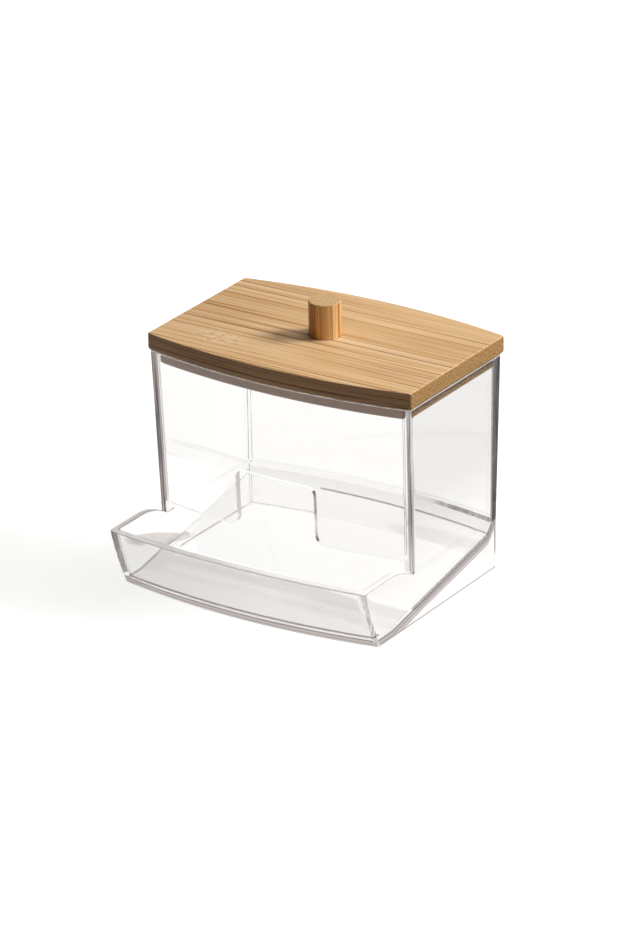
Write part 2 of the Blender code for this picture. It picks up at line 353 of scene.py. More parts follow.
def cut(obj, tool):
    """Cuts the tool out of the object for good, and removes the tool."""
    modifier = obj.modifiers.new("cut", "BOOLEAN")
    modifier.operation = "DIFFERENCE"
    modifier.solver = "EXACT"
    modifier.object = tool
    bpy.context.view_layer.update()
    shaped = obj.evaluated_get(bpy.context.evaluated_depsgraph_get())
    mesh = bpy.data.meshes.new_from_object(shaped)
    obj.modifiers.clear()
    old = obj.data
    obj.data = mesh
    mesh.name = old.name
    bpy.data.meshes.remove(old)
    bpy.data.meshes.remove(tool.data)


def finish_piece(obj, node, body):
    smooth(obj.data)
    even = obj.modifiers.new("even shading", "WEIGHTED_NORMAL")
    even.keep_sharp = True
    even.weight = 100
    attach(obj, body)
    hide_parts(node)


# Tray base

def fillet_lean():
    """How far the front wall's inner face leans where the floor's fillet meets it, in radians."""
    low, high = base_plan(FLOOR), base_plan(FLOOR + FLOOR_FILLET)
    return math.atan((low.front - high.front) / FLOOR_FILLET)


def fillet_profile(steps):
    """(run, height over the floor) of the fillet between the leaning front wall and the floor."""
    lean = fillet_lean()
    points = []
    for i in range(steps + 1):
        turn = blend(lean, math.pi / 2, i / steps)
        run = FLOOR_FILLET * (math.cos(lean) - math.cos(turn))
        points.append((run, FLOOR_FILLET * (1 - math.sin(turn))))
    return points


def rim_at(station):
    kind, y, _ = station
    if kind == "front" or (kind == "side" and y <= DIP_START):
        return RIM_HEIGHT
    if kind == "rear" or y >= HOPPER_FRONT:
        return JOINT_HEIGHT
    share = (y - DIP_START) / (HOPPER_FRONT - DIP_START)
    return RIM_HEIGHT - (RIM_HEIGHT - JOINT_HEIGHT) * share**2


def rim_profile(station):
    """The top of the base's wall: rounded over the tray, square at the hopper's front, then a lip."""
    kind, y, _ = station
    rim = rim_at(station)
    if kind == "front" or (kind == "side" and y < HOPPER_FRONT):
        outer = quarter(RIM_ROUND, 0, rim - RIM_ROUND, 1, 1, True)
        inner = quarter(RIM_ROUND, WALL - RIM_ROUND, rim, 1, -1, False)
        return outer + inner
    if kind == "side" and y < LAP_START:
        steps = 2 * ROUND_STEPS - 1
        flat = [(WALL * i / steps, rim) for i in range(steps + 1)]
        return [(0, rim - RIM_ROUND)] + flat + [(WALL, rim - RIM_ROUND)]
    ledge = [(LIP_INSET * i / LEDGE_STEPS, rim) for i in range(LEDGE_STEPS + 1)]
    rise = [(LIP_INSET, blend(rim, LIP_TOP, i / 3)) for i in (1, 2)]
    return [(0, rim - RIM_ROUND)] + ledge + rise + [(LIP_INSET, LIP_TOP), (WALL, LIP_TOP)]


def make_tray_base(materials):
    profile = fillet_profile(FILLET_STEPS)
    fillet_top = FLOOR + profile[0][1]
    run = profile[-1][0]
    inner_plan = base_plan(fillet_top)
    side_front = inner_plan.edge_point(True, 0, WALL, INNER_CORNER_RADIUS)[1]
    side_rear = inner_plan.edge_point(False, 0, WALL, INNER_CORNER_RADIUS)[1]

    fillet_places = [side_front + p[0] for p in profile[1:]]
    dip = [blend(DIP_START, HOPPER_FRONT, i / DIP_STEPS) for i in range(DIP_STEPS + 1)]
    dip[-1] -= SEAM
    places = fillet_places + [blend(fillet_places[-1], DIP_START, 0.5), RAMP_FOOT] + dip
    places += [HOPPER_FRONT + SEAM, LAP_START - SEAM, LAP_START + SEAM]
    places += BASE_PLACES
    places += [KINK_CORNER, KINK_CORNER + KINK_LINE, blend(KINK_CORNER, side_rear, 0.5)]
    places = sorted(set(places))

    stations = stations_round(places)
    bm = bmesh.new()

    def ring(rows_at):
        """One row of vertices round the walls, from each station's (inset, z)."""
        row = []
        for station in stations:
            inset, z = rows_at(station)
            x, y = place_at(base_plan(z), station, inset)
            row.append(vert(bm, x, y, z))
        return row

    def floor_height(station):
        """Where the inner face of the wall meets the floor, the ramp or the ramp's steep end."""
        kind, value, _ = station
        if kind == "front":
            return fillet_top
        if kind == "rear":
            x, y = inner_plan.edge_point(False, value, WALL, INNER_CORNER_RADIUS)
            return height_at(x, y)
        if value < side_front + run:
            return FLOOR + dict(zip(fillet_places, [p[1] for p in profile[1:]]))[value]
        return height_at(BASE_HALF - WALL, value)

    def kink(x):
        return base_plan(JOINT_HEIGHT).rear_at(x) - WALL - KINK_SETBACK

    def height_at(x, y):
        """The floor's height behind the fillet."""
        if y <= RAMP_FOOT:
            return FLOOR
        if y <= kink(x):
            return blend(FLOOR, KINK_HEIGHT, (y - RAMP_FOOT) / (kink(x) - RAMP_FOOT))
        return KINK_HEIGHT + (RAMP_END - KINK_HEIGHT) * (y - kink(x)) / KINK_SETBACK

    rows = []
    for inset, z in quarter(FOOT_ROUND, FOOT_ROUND, 0, -1, 1, False):
        rows.append(ring(lambda s, inset=inset, z=z: (inset, z)))
    rows.append(ring(lambda s: (0, FOOT_ROUND + FOOT_LINE)))
    for i in range(1, BASE_ROWS):
        share = i / BASE_ROWS
        rows.append(ring(lambda s, share=share: (0, blend(FOOT_ROUND, rim_profile(s)[0][1], share))))
    top_count = len(rim_profile(stations[0]))
    first_top = len(rows)
    for i in range(top_count):
        rows.append(ring(lambda s, i=i: rim_profile(s)[i]))
    for i in range(1, BASE_ROWS + 1):
        share = i / BASE_ROWS
        rows.append(ring(
            lambda s, share=share: (WALL, blend(rim_profile(s)[-1][1], floor_height(s), share))))

    # Painted shade lines go on the foot, the rear-left corner and two rows of the rim; the rest of the rim
    # gets the moulded edge's painted glow, and the corners painted trapped light
    rear_left = [2 * EDGE_COUNT + len(places) - 2 - i for i in REAR_LEFT_BASE]
    bonded = [s[0] == "rear" or (s[0] == "side" and s[1] > HOPPER_FRONT) for s in stations]
    for r, (near, far) in enumerate(zip(rows, rows[1:])):
        for i in range(len(stations)):
            j = (i + 1) % len(stations)
            face = bm.faces.new((near[i], near[j], far[j], far[i]))
            if r < first_top:
                kind, x = stations[i][0], near[i].co.x
                at_foot = r in (2, 3) or (r == ROUND_STEPS and x > 0)
                if r < ROUND_STEPS and kind == "rear" and x > FOOT_SHOWS * MM:
                    face.material_index = BOND
                elif i in rear_left or (at_foot and kind == "side"):
                    face.material_index = SHADE_LINE
                elif i < CORNER_STEPS or EDGE_COUNT - 2 - CORNER_STEPS < i < EDGE_COUNT - 1:
                    face.material_index = CORNER
                else:
                    face.material_index = FRONT if i < EDGE_COUNT - 1 else OUTSIDE
            elif r < first_top + top_count - 1:
                if bonded[i] and bonded[j]:
                    face.material_index = BOND if r > first_top else PLASTIC
                else:
                    face.material_index = SHADE_LINE if r - first_top in (0, 5) else EDGE
    # The foot's underside gets the painted glow
    bm.faces.new(rows[0][::-1]).material_index = FOOT

    # The floor shares its border with the last row on the walls
    border = rows[-1]
    side_count = len(places)
    front = border[:EDGE_COUNT]
    right = border[EDGE_COUNT:EDGE_COUNT + side_count]
    rear = border[EDGE_COUNT + side_count:2 * EDGE_COUNT + side_count][::-1]
    left = border[2 * EDGE_COUNT + side_count:][::-1]
    side_breaks = [side_front, side_front + run, RAMP_FOOT, KINK_CORNER, side_rear]
    grid = [front]
    for v in range(side_count):
        y_side = places[v]
        part = max(i for i in range(4) if side_breaks[i] <= y_side + 1e-9)
        share = (y_side - side_breaks[part]) / (side_breaks[part + 1] - side_breaks[part])
        row = [left[v]]
        for u in range(1, EDGE_COUNT - 1):
            (x0, y0, _), (x1, y1, _) = front[u].co / MM, rear[u].co / MM
            x = blend(x0, x1, (y_side - side_front) / (side_rear - side_front))
            breaks = [y0, y0 + run, RAMP_FOOT, kink(x), y1]
            y = blend(breaks[part], breaks[part + 1], share)
            in_fillet = part == 0 or v < len(fillet_places)
            row.append(vert(bm, x, y, FLOOR + profile[v + 1][1] if in_fillet else height_at(x, y)))
        row.append(right[v])
        grid.append(row)
    grid.append(rear)
    # The fillet's first rows and the kink get painted shade lines
    for v, (near, far) in enumerate(zip(grid, grid[1:])):
        slots = [SHADE_LINE if v < 3 else PLASTIC] * (EDGE_COUNT - 1)
        if v > 0 and places[v - 1] == KINK_CORNER:
            slots = [SHADE_LINE if point.co.x > KINK_SHOWS * MM else PLASTIC for point in near[:-1]]
        strip(bm, near, far, material=slots, closed=False)

    base = new_object("clear_tray_base", bm, materials)
    cut(base, make_hollow(materials))
    finish_piece(base, "tray_base", "holder")


def make_hollow(materials):
    """The space under the ramp, open to the table."""
    half = BASE_HALF - SKIRT_WALL
    rings = []
    for i in range(HOLLOW_STEPS + 1):
        x = half * (2 * i / HOLLOW_STEPS - 1)
        rear_face = base_plan(JOINT_HEIGHT).rear_at(x)
        kink = rear_face - WALL - KINK_SETBACK
        slope = math.atan((KINK_HEIGHT - FLOOR) / (kink - RAMP_FOOT))
        steep = math.atan2(RAMP_END - KINK_HEIGHT, KINK_SETBACK)
        mitre = RAMP_THICKNESS / (1 + math.cos(steep - slope))
        bend_y = kink + mitre * (math.sin(slope) + math.sin(steep))
        bend_z = KINK_HEIGHT - mitre * (math.cos(slope) + math.cos(steep))
        rear = rear_face - SKIRT_WALL
        rings.append([
            (x, HOLLOW_START, -OVERRUN),
            (x, HOLLOW_START, bend_z - math.tan(slope) * (bend_y - HOLLOW_START)),
            (x, bend_y, bend_z),
            (x, rear, bend_z + math.tan(steep) * (rear - bend_y)),
            (x, rear, -OVERRUN),
        ])
    tool = skin("hollow", rings, materials)
    for face in tool.data.polygons:
        if face.normal.y < -0.9:
            face.material_index = BOND
    return tool


# Hopper

def make_hopper(materials):
    bottom = JOINT_HEIGHT + SEAM
    places = [LAP_START - SEAM, LAP_START + SEAM, *HOPPER_PLACES]
    stations = stations_round(places)
    bm = bmesh.new()

    def foot_profile(station):
        """Across the hopper's lower edge from the inner face to the outer one."""
        kind, y, _ = station
        if kind == "front" or (kind == "side" and y < LAP_START):
            return [(WALL * (3 - i) / 3, bottom) for i in range(4)]
        inset = LIP_INSET - SEAM
        return [(WALL, LIP_TOP + SEAM), (inset, LIP_TOP + SEAM), (inset, bottom), (0, bottom)]

    def ring(rows_at):
        row = []
        for station in stations:
            inset, z = rows_at(station)
            x, y = place_at(hopper_plan(z), station, inset)
            row.append(vert(bm, x, y, z))
        return row

    shoulder = HOPPER_TOP - MOUTH_ROUND
    rows = []
    for i in range(WALL_ROWS):
        rows.append(ring(lambda s, z=blend(bottom, shoulder, i / WALL_ROWS): (0, z)))
    mouth = quarter(MOUTH_ROUND, 0, shoulder, 1, 1, True)
    mouth += quarter(MOUTH_ROUND, WALL - MOUTH_ROUND, HOPPER_TOP, 1, -1, False)
    for inset, z in mouth:
        rows.append(ring(lambda s, inset=inset, z=z: (inset, z)))
    for i in range(1, WALL_ROWS + 1):
        share = i / WALL_ROWS
        rows.append(ring(lambda s, share=share: (WALL, blend(shoulder, foot_profile(s)[0][1], share))))
    first_foot = len(rows) - 1
    for i in (1, 2):
        rows.append(ring(lambda s, i=i: foot_profile(s)[i]))
    rows.append(rows[0])
    first_rear = EDGE_COUNT + len(places)
    # Painted light and shade on the hopper: trapped-light streaks on the front corners, shade lines on some
    # corner columns, a near-black column at the rear right, and glow on two rows of the mouth's rounding
    outer = [PLASTIC] * len(stations)
    inner = [PLASTIC] * len(stations)
    for i in range(CORNER_STEPS):
        outer[i] = outer[EDGE_COUNT - 2 - i] = CORNER
    outer[CORNER_STEPS] = CORNER
    outer[first_rear - 2] = SHADE_LINE
    for i in REAR_RIGHT_SHADE:
        outer[first_rear + i] = DARK
    for i in REAR_LEFT_HOPPER:
        inner[first_rear + EDGE_COUNT - 2 - i] = SHADE_LINE
    for i in REAR_RIGHT_HOPPER:
        inner[first_rear + i] = SHADE_LINE
    inner_foot = list(inner)
    for i in FRONT_HOPPER:
        inner[i] = inner[EDGE_COUNT - 2 - i] = SHADE_LINE
    for r, (near, far) in enumerate(zip(rows, rows[1:])):
        if r >= first_foot:
            slots = BOND
        elif WALL_ROWS <= r < WALL_ROWS + 2 * ROUND_STEPS + 1:
            slots = EDGE if r in (WALL_ROWS + 2, WALL_ROWS + 3) else PLASTIC
        else:
            slots = outer if r < WALL_ROWS else inner if r < first_foot - 1 else inner_foot
        strip(bm, near, far, material=slots)
    bmesh.ops.triangulate(bm, faces=bm.faces)

    hopper = new_object("clear_hopper", bm, materials)
    cut(hopper, make_exit(materials))
    finish_piece(hopper, "hopper", "holder")


def make_exit(materials):
    """The swab exit under the front wall, with the finger notch rising from its middle."""
    def arc(centre_x, centre_z, radius, start, stop):
        turns = [blend(start, stop, i / NOTCH_STEPS) for i in range(NOTCH_STEPS + 1)]
        angles = [math.radians(a) for a in turns]
        return [(centre_x + radius * math.cos(a), centre_z + radius * math.sin(a)) for a in angles]

    notch = NOTCH_WIDTH / 2
    lower, upper = NOTCH_LOWER_RADIUS, NOTCH_UPPER_RADIUS
    below = JOINT_HEIGHT - OVERRUN
    right = [(hopper_plan(z).half - WALL - GAP, z) for z in (below, EXIT_TOP)]
    right += arc(notch + lower, EXIT_TOP + lower, lower, 270, 180)
    right += arc(notch - upper, NOTCH_TOP - upper, upper, 0, 90)
    outline = right + [(-x, z) for x, z in reversed(right)]
    rings = [[(x, y, z) for x, z in outline] for y in (RIM_FRONT, CENTRE)]
    tool = skin("exit", rings, materials, EDGE)
    # The notch's right edge gets a painted shade line; the other upright cut faces keep the moulded edge's
    # painted glow
    for face in tool.data.polygons:
        if abs(face.normal.z) > 0.6:
            face.material_index = BOND
        elif face.normal.x > 0.6 and face.center.z > EXIT_TOP * MM:
            face.material_index = SHADE_LINE
    return tool


# Lid board and knob

def lid_outline(inset):
    reach = LID_SIDE_DEPTH / 2
    plan = Plan(LID_HALF, CENTRE - reach, LID_BOW, CENTRE + reach, LID_BOW)
    front = [plan.edge_point(True, k, inset, LID_CORNER_RADIUS) for k in range(EDGE_COUNT)]
    rear = [plan.edge_point(False, k, inset, LID_CORNER_RADIUS) for k in range(EDGE_COUNT)]
    return front + rear[::-1]


def plug_outline(inset):
    plan = hopper_plan(LID_BOTTOM - GAP)
    front = [plan.edge_point(True, k, inset, INNER_CORNER_RADIUS) for k in range(EDGE_COUNT)]
    rear = [plan.edge_point(False, k, inset, INNER_CORNER_RADIUS) for k in range(EDGE_COUNT)]
    return front + rear[::-1]


def make_lid_board(material):
    turns = [math.pi / 2 * i / LID_STEPS for i in range(LID_STEPS + 1)]
    inset = WALL + PLUG_CLEARANCE
    plug_bottom = LID_BOTTOM - PLUG_HEIGHT
    levels = [
        (plug_outline(inset + PLUG_LEAD_IN), plug_bottom),
        (plug_outline(inset), plug_bottom + PLUG_LEAD_IN),
        (plug_outline(inset), LID_BOTTOM),
    ]
    for turn in turns:
        rise = LID_BOTTOM_EDGE * (1 - math.cos(turn))
        levels.append((lid_outline(LID_BOTTOM_EDGE * (1 - math.sin(turn))), LID_BOTTOM + rise))
    for turn in turns:
        drop = LID_TOP_EDGE * (1 - math.sin(turn))
        levels.append((lid_outline(LID_TOP_EDGE * (1 - math.cos(turn))), LID_TOP - drop))
    rings = [[(x, y, z) for x, y in outline] for outline, z in levels]
    board = skin("bamboo_lid_board", rings, [material])
    cut(board, make_socket())
    finish_piece(board, "lid_board", "lid")


def make_socket():
    radius = KNOB_RADIUS + SOCKET_CLEARANCE
    angles = [2 * math.pi * i / SOCKET_SIDES for i in range(SOCKET_SIDES)]
    circle = [(radius * math.cos(a), CENTRE + radius * math.sin(a)) for a in angles]
    heights = (LID_TOP - SOCKET_DEPTH, LID_TOP + OVERRUN)
    return skin("socket", [[(x, y, z) for x, y in circle] for z in heights])


def make_knob(material):
    bottom = LID_TOP - SOCKET_DEPTH + GAP
    draw = random.Random(7)
    ragged = [draw.uniform(0.5, 1.2) * KNOB_EDGE for _ in range(KNOB_SIDES)]
    rings = []
    for edge_share, drop_share in ((0.0, None), (0.0, 1.0), (0.35, 0.35), (1.0, 0.0)):
        ring = []
        for i in range(KNOB_SIDES):
            turn = 2 * math.pi * i / KNOB_SIDES
            radius = KNOB_RADIUS - edge_share * ragged[i]
            z = bottom if drop_share is None else KNOB_TOP - drop_share * ragged[i]
            ring.append((radius * math.cos(turn), CENTRE + radius * math.sin(turn), z))
        rings.append(ring)
    knob = skin("bamboo_knob", rings, [material])
    finish_piece(knob, "knob", "lid")


# Camera, at the photograph's viewing angle

def make_camera():
    data = bpy.data.cameras.new("camera")
    data.sensor_fit = "VERTICAL"
    data.sensor_width = 36.0
    data.sensor_height = 36.0
    data.lens = 204.56
    data.clip_start = 0.01
    data.clip_end = 100.0
    camera = bpy.data.objects.new("camera", data)
    camera.location = (0.75386, -1.12589, 0.62382)
    camera.rotation_euler = [math.radians(a) for a in (66.4652, 1.1262, 33.2709)]
    bpy.context.scene.collection.objects.link(camera)
    bpy.context.scene.camera = camera


# Node helpers

class Tree:
    """Short calls to build one material's or the world's nodes."""

    def __init__(self, owner):
        owner.use_nodes = True
        self.tree = owner.node_tree
        self.tree.nodes.clear()

    def node(self, kind, inputs=None, **settings):
        made = self.tree.nodes.new(kind)
        for name, value in settings.items():
            setattr(made, name, value)
        for name, value in (inputs or {}).items():
            self.put(made.inputs[name], value)
        return made

    def put(self, socket, value):
        if isinstance(value, bpy.types.NodeSocket):
            self.tree.links.new(value, socket)
        else:
            socket.default_value = value

    def math(self, operation, *values, clamp=False):
        made = self.node("ShaderNodeMath", operation=operation, use_clamp=clamp)
        for socket, value in zip(made.inputs, values):
            self.put(socket, value)
        return made.outputs[0]

    def mix(self, share, a, b, blend_type="MIX"):
        made = self.node("ShaderNodeMix", data_type="RGBA", blend_type=blend_type)
        for socket, value in zip((made.inputs[0], made.inputs[6], made.inputs[7]), (share, a, b)):
            self.put(socket, value)
        return made.outputs[2]

    def tint(self, share, colour, other):
        """The colour, multiplied by the other one for this share."""
        return self.mix(share, colour, self.mix(1.0, colour, other, "MULTIPLY"))

    def span(self, value, start, end, kind="LINEAR"):
        """0 at the start and 1 at the end."""
        inputs = {0: value, 1: start, 2: end}
        return self.node("ShaderNodeMapRange", inputs, interpolation_type=kind).outputs[0]

    def scaled(self, vector, *scale, offset=(0.0, 0.0, 0.0)):
        inputs = {"Vector": vector, "Location": offset, "Scale": scale}
        return self.node("ShaderNodeMapping", inputs).outputs[0]

    def cloud(self, vector, scale, detail):
        inputs = {"Vector": vector, "Scale": scale, "Detail": detail}
        return self.node("ShaderNodeTexNoise", inputs).outputs["Fac"]

    def vector(self, operation, a, b=(0.0, 0.0, 0.0)):
        return self.node("ShaderNodeVectorMath", {0: a, 1: b}, operation=operation)

    def emission(self, colour, strength=1.0):
        return self.node("ShaderNodeEmission", {"Color": colour, "Strength": strength}).outputs[0]

    def shade(self, share, a, b):
        """One shader, or the other one for this share."""
        return self.node("ShaderNodeMixShader", {0: share, 1: a, 2: b}).outputs[0]


def seen_ray(t):
    """1 for the rays that show the background: to the camera, off gloss and through plastic."""
    path = t.node("ShaderNodeLightPath")
    shown = t.math("MAXIMUM", path.outputs["Is Camera Ray"], path.outputs["Is Glossy Ray"])
    return t.math("MAXIMUM", shown, path.outputs["Is Transmission Ray"])


def passed_ray(t):
    """1 for the rays that have gone through clear plastic."""
    return t.math("MINIMUM", t.node("ShaderNodeLightPath").outputs["Transmission Depth"], 1.0)


def mirrored(t, colour, place, start, end):
    """The colour, turning dark towards the right for rays that the plastic has mirrored."""
    depth = t.node("ShaderNodeLightPath").outputs["Glossy Depth"]
    x = t.node("ShaderNodeSeparateXYZ", {0: place}).outputs[0]
    share = t.math("MULTIPLY", t.span(x, start, end), t.math("GREATER_THAN", depth, 0.5))
    return t.mix(share, colour, MIRROR_DARK)


def make_world():
    world = bpy.data.worlds.new("studio")
    bpy.context.scene.world = world
    t = Tree(world)
    direction = t.node("ShaderNodeTexCoord").outputs["Generated"]
    _, y, z = t.node("ShaderNodeSeparateXYZ", {0: direction}).outputs
    # The sky overhead is grey, but rays through the plastic see white behind the holder
    hidden = t.math("MULTIPLY", t.span(y, 0.2, 0.4), passed_ray(t))
    height = t.math("MULTIPLY", z, t.math("SUBTRACT", 1.0, hidden))
    ramp = t.node("ShaderNodeValToRGB", {"Fac": height})
    low, high = ramp.color_ramp.elements
    low.position, low.color = 0.10, WHITE
    high.position, high.color = 0.30, (0.25, 0.24, 0.24, 1.0)
    sky = mirrored(t, ramp.outputs["Color"], direction, 0.0, 0.3)
    shown = t.node("ShaderNodeBackground", {"Color": sky})
    soft = t.node("ShaderNodeBackground", {"Color": (1.0, 1.0, 1.0, 1.0), "Strength": 0.08})
    t.node("ShaderNodeOutputWorld", {"Surface": t.shade(seen_ray(t), soft.outputs[0], shown.outputs[0])})
    bpy.context.scene.view_settings.view_transform = "Standard"


def make_floor():
    size = 3.0
    under = 0.00005  # just below the holder's foot
    mesh = bpy.data.meshes.new("floor")
    corners = [(-size, -size, 0), (size, -size, 0), (size, size, 0), (-size, size, 0)]
    mesh.from_pydata(corners, [], [(0, 1, 2, 3)])
    floor = bpy.data.objects.new("floor", mesh)
    floor.location.z = -under
    bpy.context.scene.collection.objects.link(floor)
    material = bpy.data.materials.new("floor paper")
    t = Tree(material)
    geometry = t.node("ShaderNodeNewGeometry").outputs
    place, below = geometry["Position"], geometry["Backfacing"]
    passed = passed_ray(t)
    seen = t.mix(passed, (0.45, 0.45, 0.45, 1.0), (0.06, 0.06, 0.06, 1.0))
    lit = t.mix(seen_ray(t), (0.30, 0.30, 0.30, 1.0), seen)
    paper = t.node("ShaderNodeBsdfDiffuse", {"Color": mirrored(t, lit, place, *MIRROR_REACH)})
    # Two soft shadows of the holder on the table, which show only through the plastic
    ground = WHITE
    for middle, turned_by, half_size, depth in (
        ((-0.0515, -0.0005, 0.0), 33.0, (0.0095, 0.0045, 1.0), 0.85),
        ((0.0175, 0.0405, 0.0), 0.0, (0.016, 0.004, 1.0), 0.30),
    ):
        patch = t.node("ShaderNodeMapping", {
            "Vector": place,
            "Location": middle,
            "Rotation": (0.0, 0.0, math.radians(turned_by)),
            "Scale": half_size,
        }, vector_type="TEXTURE")
        away = t.vector("LENGTH", patch.outputs[0]).outputs["Value"]
        shaded = t.math("MULTIPLY", t.span(away, 1.15, 0.85, "SMOOTHSTEP"), t.math("MULTIPLY", passed, depth))
        ground = t.mix(shaded, ground, (0.42, 0.37, 0.35, 1.0))
    shine = t.math("MULTIPLY", seen_ray(t), t.math("MULTIPLY_ADD", passed, 0.25, 0.78))
    white = t.emission(mirrored(t, ground, place, *MIRROR_REACH), shine)
    both = t.node("ShaderNodeAddShader", {0: paper.outputs[0], 1: white})
    # Seen from below the floor is clear, so that the underside shows
    clear = t.node("ShaderNodeBsdfTransparent")
    sided = t.shade(below, both.outputs[0], clear.outputs[0])
    t.node("ShaderNodeOutputMaterial", {"Surface": sided})
    mesh.materials.append(material)


def make_lamp(name, place, size, power):
    data = bpy.data.lights.new(name, "AREA")
    data.shape = "RECTANGLE"
    data.size = data.size_y = size
    data.energy = power
    lamp = bpy.data.objects.new(name, data)
    lamp.location = place
    lamp.rotation_mode = "QUATERNION"
    lamp.rotation_quaternion = (Vector(LAMP_AIM) - Vector(place)).to_track_quat("-Z", "Y")
    bpy.context.scene.collection.objects.link(lamp)


def painted_band(t, place):
    """Painted shade: grey lines on the base's outside where the floor and the ramp join it, for their edges
    seen through the wall: (share, colour).
    """
    x, y, z = t.node("ShaderNodeSeparateXYZ", {0: place}).outputs
    slope = (KINK_HEIGHT - FLOOR) / (KINK_CORNER - RAMP_FOOT)
    steep = (RAMP_END - KINK_HEIGHT) / KINK_SETBACK
    ramp = t.math("MULTIPLY_ADD", y, slope, (FLOOR - RAMP_FOOT * slope) * MM)
    rise = t.math("MULTIPLY_ADD", y, steep, (KINK_HEIGHT - KINK_CORNER * steep) * MM)
    top = t.math("MAXIMUM", t.math("MAXIMUM", ramp, rise), FLOOR * MM)
    wobble = t.cloud(t.scaled(place, 60.0, 60.0, 500.0), 1.0, 2.0)
    depth = t.math("SUBTRACT", t.math("ADD", z, t.math("MULTIPLY", wobble, 0.0005)), top)
    levels = t.node("ShaderNodeValToRGB", {"Fac": t.span(depth, -0.0026, 0.0007)})
    stops = levels.color_ramp.elements
    stops[0].position, stops[0].color = 0.0, (1.0, 1.0, 1.0, 0.0)
    stops[1].position, stops[1].color = 1.0, (1.0, 1.0, 1.0, 0.0)
    for position, colour in PAINTED_BAND_LINES:
        stops.new(position).color = colour
    # On the left side the band shows only near the tray
    hidden = t.math("MULTIPLY", t.span(x, -0.040, -0.042), t.span(y, -0.016, -0.006))
    share = t.math("MULTIPLY", levels.outputs["Alpha"], t.math("SUBTRACT", 1.0, hidden))
    return share, levels.outputs["Color"]


def clear_plastic(name, haze, haze_colour, glow=0.0, streaked=False, band=False):
    """Clear moulded plastic with slight waves and flow lines, and a share of haze.

    A glow adds painted light to the haze, though the plastic is no lamp; streaked puts painted
    streaks of trapped light in its place; and band adds the band's painted shade lines.
    Light caught between two faces ends in painted streaks of grey, as it does in the real wall's thickness,
    because the renderer gives such a ray up after a few turns.
    """
    material = bpy.data.materials.new(name)
    t = Tree(material)
    place = t.node("ShaderNodeTexCoord").outputs["Object"]
    slow = t.cloud(place, 90.0, 1.0)
    flow = t.cloud(t.scaled(place, 800.0, 800.0, 14.0), 1.0, 2.0)
    height = t.math("MULTIPLY_ADD", flow, 0.25, slow)
    bump = t.node("ShaderNodeBump", {"Strength": 1.0, "Distance": WAVE, "Height": height}).outputs[0]
    shader = t.node("ShaderNodeBsdfPrincipled", {
        "Base Color": (0.994, 0.989, 0.985, 1.0),
        "Roughness": t.math("MULTIPLY", slow, 0.03),
        "IOR": 1.53,
        "Transmission Weight": 1.0,
        "Normal": bump,
    }).outputs[0]
    streaks = t.cloud(t.scaled(place, 1500.0, 1500.0, 12.0), 1.0, 1.0)
    caught = t.node("ShaderNodeValToRGB", {"Fac": streaks})
    dark, pale = caught.color_ramp.elements
    dark.position, dark.color = 0.34, TRAPPED_DARK
    pale.position, pale.color = 0.68, TRAPPED_PALE
    caught.color_ramp.elements.new(0.5).color = TRAPPED_MID
    end = t.emission(caught.outputs["Color"])
    milky = t.node("ShaderNodeBsdfDiffuse", {"Color": haze_colour}).outputs[0]
    if streaked:
        milky = end
    elif glow:
        lit = t.emission((1.0, 0.97, 0.94, 1.0), glow)
        milky = t.node("ShaderNodeAddShader", {0: milky, 1: lit}).outputs[0]
    seen = t.shade(haze, shader, milky)
    if band:
        share, colour = painted_band(t, place)
        seen = t.shade(share, seen, t.emission(colour))
    path = t.node("ShaderNodeLightPath").outputs
    deep = t.math("GREATER_THAN", path["Glossy Depth"], 2.5)
    through = t.math("MAXIMUM", path["Is Shadow Ray"], path["Is Diffuse Ray"])
    let = t.node("ShaderNodeBsdfTransparent", {"Color": (0.95, 0.95, 0.95, 1.0)}).outputs[0]
    surface = t.shade(through, t.shade(deep, seen, end), let)
    t.node("ShaderNodeOutputMaterial", {"Surface": surface})
    return material


def bonded_joint():
    material = bpy.data.materials.new("bonded joint")
    t = Tree(material)
    clear = t.node("ShaderNodeBsdfTransparent", {"Color": (0.99, 0.99, 0.99, 1.0)})
    t.node("ShaderNodeOutputMaterial", {"Surface": clear.outputs[0]})
    return material


class Wood(Tree):
    """The parts that both bamboo materials share. Grain coordinates run along the fibres first."""

    def __init__(self, name, along):
        self.material = bpy.data.materials.new(name)
        super().__init__(self.material)
        self.place = self.node("ShaderNodeTexCoord").outputs["Object"]
        self.x, self.y, self.z = self.node("ShaderNodeSeparateXYZ", {0: self.place}).outputs
        self.grain = self.place
        if along == "Z":
            self.grain = self.join(self.z, self.x, self.y)

    def join(self, x, y, z):
        return self.node("ShaderNodeCombineXYZ", {0: x, 1: y, 2: z}).outputs[0]

    def noise(self, along, across, detail, seed):
        """Noise with so many features per metre along and across the fibres."""
        offset = (seed, 1.7 * seed, 2.3 * seed)
        return self.cloud(self.scaled(self.grain, along, across, across, offset=offset), 1.0, detail)

    def between(self, value, low, high):
        """0 below low and 1 above high, or the other way round where low is the larger."""
        made = self.node("ShaderNodeMapRange", {0: value, 1: low, 2: high}, interpolation_type="SMOOTHSTEP")
        if low > high:
            for socket, number in zip(made.inputs[1:5], (high, low, 1.0, 0.0)):
                socket.default_value = number
        return made.outputs[0]

    def close_to(self, value, target, reach):
        """1 at the target, fading to 0 at the reach."""
        off = self.math("ABSOLUTE", self.math("SUBTRACT", value, target))
        return self.between(off, reach, 0.0)

    def times(self, *values):
        product = values[0]
        for value in values[1:]:
            product = self.math("MULTIPLY", product, value)
        return product

    def finish(self, colour, roughness, height, depth):
        bump = self.node("ShaderNodeBump", {"Strength": 0.7, "Distance": depth, "Height": height}).outputs[0]
        shader = self.node("ShaderNodeBsdfPrincipled", {
            "Base Color": colour, "Roughness": roughness, "IOR": 1.42, "Normal": bump,
        })
        self.node("ShaderNodeOutputMaterial", {"Surface": shader.outputs[0]})
        return self.material


